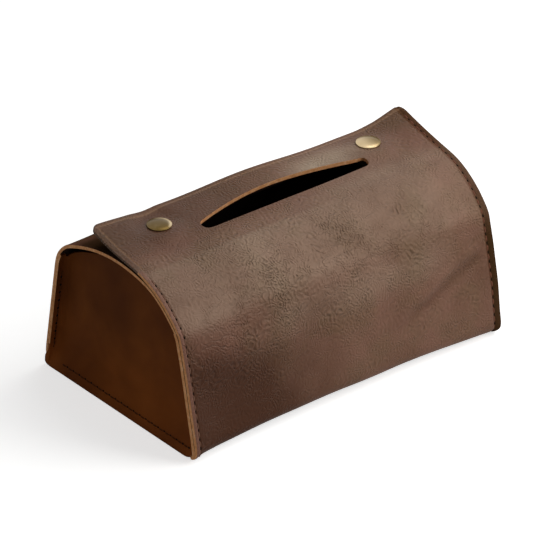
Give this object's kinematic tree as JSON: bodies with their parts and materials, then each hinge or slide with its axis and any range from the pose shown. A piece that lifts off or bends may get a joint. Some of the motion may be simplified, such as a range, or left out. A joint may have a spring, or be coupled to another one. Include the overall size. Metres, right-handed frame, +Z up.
{
  "type": "tissue box cover",
  "caption": "Soft leather cover for a flat pack of tissues: a rolled trunk shape with a snap-down flap that has a crescent tissue slot.",
  "frame": {"origin": "centre of the cover on the plane of the table", "axes": "+X along the length to the end on the right as the front is faced, +Y from the front wall to the back wall, +Z up"},
  "size_m": [0.24, 0.149, 0.1165],
  "materials": {
    "outer_leather": "waxed dark brown, worn paler on the bends, raw tan edges",
    "end_leather": "smooth dark orange brown",
    "brass": "antique, rubbed brighter on the high spots",
    "spring_steel": "plain wire"
  },
  "bodies": {
    "cover": {"wrap": "outer_leather", "left_end_panel": "end_leather", "right_end_panel": "end_leather", "left_snap_stud": "brass", "left_snap_rivet": "brass", "right_snap_stud": "brass", "right_snap_rivet": "brass"},
    "flap": {"flap": "outer_leather", "left_snap_cap": "brass", "left_snap_socket": "brass", "left_snap_spring": "spring_steel", "right_snap_cap": "brass", "right_snap_socket": "brass", "right_snap_spring": "spring_steel"}
  },
  "joints": [
    {"name": "flap_hinge", "type": "hinge", "parent": "cover", "child": "flap", "pos_m": [0, -0.02129, 0.10666], "axis": [1, 0, 0], "range_deg": [0, 120]}
  ]
}
